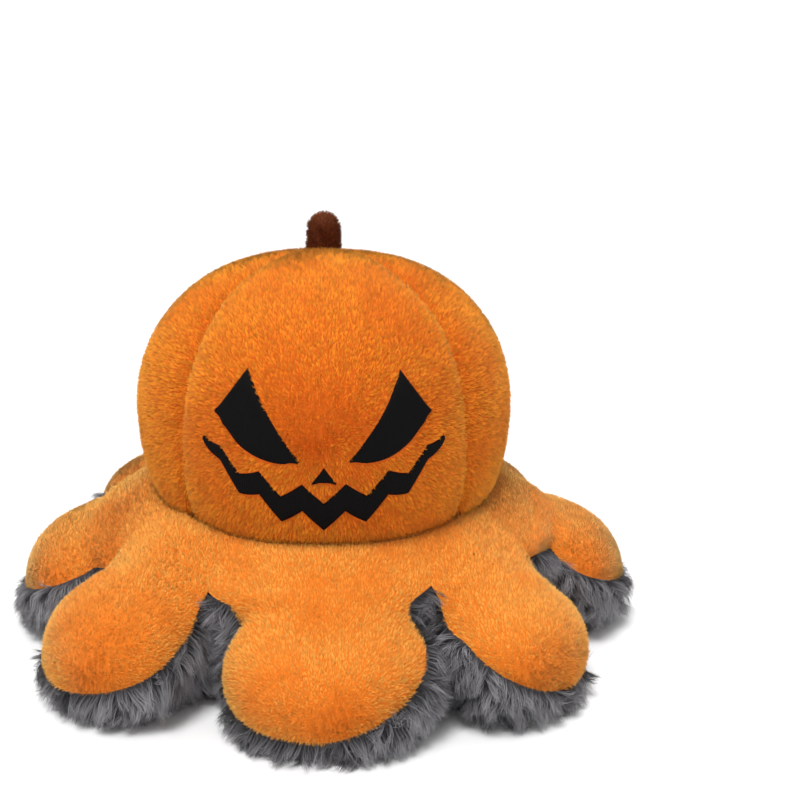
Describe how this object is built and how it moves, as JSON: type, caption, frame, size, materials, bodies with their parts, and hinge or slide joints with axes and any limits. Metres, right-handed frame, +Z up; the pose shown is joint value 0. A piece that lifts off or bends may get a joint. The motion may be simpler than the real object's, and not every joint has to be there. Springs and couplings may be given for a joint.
{
  "type": "reversible plush pumpkin",
  "caption": "Stuffed pumpkin with a stitched lantern face and lobed legs, sewn back to back with a furry spider that shows when the toy is turned inside out.",
  "frame": {"origin": "middle of the toy on the surface that it stands on", "axes": "+Z up, the pumpkin's face looks along -Y, +X to the right of a viewer who faces it"},
  "size_m": [0.202, 0.202, 0.1247],
  "materials": {
    "orange_plush": "short-pile plush",
    "grey_fur": "long-pile plush",
    "brown_plush": "short-pile plush",
    "black_thread": "satin stitch",
    "white_fibre": "loose fibre"
  },
  "bodies": {
    "head": {"face_panel": "orange_plush", "right_panel": "orange_plush", "back_panel": "orange_plush", "left_panel": "orange_plush", "lining_face_panel": "grey_fur", "lining_right_panel": "grey_fur", "lining_back_panel": "grey_fur", "lining_left_panel": "grey_fur", "underside": "grey_fur", "head_filling": "white_fibre", "mouth": "black_thread", "left_eye": "black_thread", "right_eye": "black_thread", "nose": "black_thread", "spider_large_eye_left": "black_thread", "spider_inner_eye_left": "black_thread", "spider_upper_eye_left": "black_thread", "spider_outer_eye_left": "black_thread", "spider_large_eye_right": "black_thread", "spider_inner_eye_right": "black_thread", "spider_upper_eye_right": "black_thread", "spider_outer_eye_right": "black_thread", "spider_smile": "black_thread"},
    "stem": {"stem_cover": "brown_plush", "stem_filling": "white_fibre"},
    "front_leg": {"front_leg_upper": "orange_plush", "front_leg_sole": "grey_fur", "front_leg_filling": "white_fibre"},
    "front_right_leg": {"front_right_leg_upper": "orange_plush", "front_right_leg_sole": "grey_fur", "front_right_leg_filling": "white_fibre"},
    "right_leg": {"right_leg_upper": "orange_plush", "right_leg_sole": "grey_fur", "right_leg_filling": "white_fibre"},
    "back_right_leg": {"back_right_leg_upper": "orange_plush", "back_right_leg_sole": "grey_fur", "back_right_leg_filling": "white_fibre"},
    "back_leg": {"back_leg_upper": "orange_plush", "back_leg_sole": "grey_fur", "back_leg_filling": "white_fibre"},
    "back_left_leg": {"back_left_leg_upper": "orange_plush", "back_left_leg_sole": "grey_fur", "back_left_leg_filling": "white_fibre"},
    "left_leg": {"left_leg_upper": "orange_plush", "left_leg_sole": "grey_fur", "left_leg_filling": "white_fibre"},
    "front_left_leg": {"front_left_leg_upper": "orange_plush", "front_left_leg_sole": "grey_fur", "front_left_leg_filling": "white_fibre"}
  },
  "joints": [
    {"name": "stem_sway", "type": "hinge", "parent": "head", "child": "stem", "pos_m": [0, 0.024, 0.11277], "axis": [1, 0, 0], "range_deg": [-15, 15], "stiffness_Nm_per_rad": 0.001},
    {"name": "front_leg_fold", "type": "hinge", "parent": "head", "child": "front_leg", "pos_m": [0, -0.05464, 0.0465], "axis": [-1, 0, 0], "range_deg": [-10, 75], "stiffness_Nm_per_rad": 0.02},
    {"name": "front_right_leg_fold", "type": "hinge", "parent": "head", "child": "front_right_leg", "pos_m": [0.03864, -0.03864, 0.0465], "axis": [-0.7071, -0.7071, 0], "range_deg": [-10, 75], "stiffness_Nm_per_rad": 0.02},
    {"name": "right_leg_fold", "type": "hinge", "parent": "head", "child": "right_leg", "pos_m": [0.05464, 0, 0.0465], "axis": [0, -1, 0], "range_deg": [-10, 75], "stiffness_Nm_per_rad": 0.02},
    {"name": "back_right_leg_fold", "type": "hinge", "parent": "head", "child": "back_right_leg", "pos_m": [0.03864, 0.03864, 0.0465], "axis": [0.7071, -0.7071, 0], "range_deg": [-10, 75], "stiffness_Nm_per_rad": 0.02},
    {"name": "back_leg_fold", "type": "hinge", "parent": "head", "child": "back_leg", "pos_m": [0, 0.05464, 0.0465], "axis": [1, 0, 0], "range_deg": [-10, 75], "stiffness_Nm_per_rad": 0.02},
    {"name": "back_left_leg_fold", "type": "hinge", "parent": "head", "child": "back_left_leg", "pos_m": [-0.03864, 0.03864, 0.0465], "axis": [0.7071, 0.7071, 0], "range_deg": [-10, 75], "stiffness_Nm_per_rad": 0.02},
    {"name": "left_leg_fold", "type": "hinge", "parent": "head", "child": "left_leg", "pos_m": [-0.05464, 0, 0.0465], "axis": [0, 1, 0], "range_deg": [-10, 75], "stiffness_Nm_per_rad": 0.02},
    {"name": "front_left_leg_fold", "type": "hinge", "parent": "head", "child": "front_left_leg", "pos_m": [-0.03864, -0.03864, 0.0465], "axis": [-0.7071, 0.7071, 0], "range_deg": [-10, 75], "stiffness_Nm_per_rad": 0.02}
  ]
}
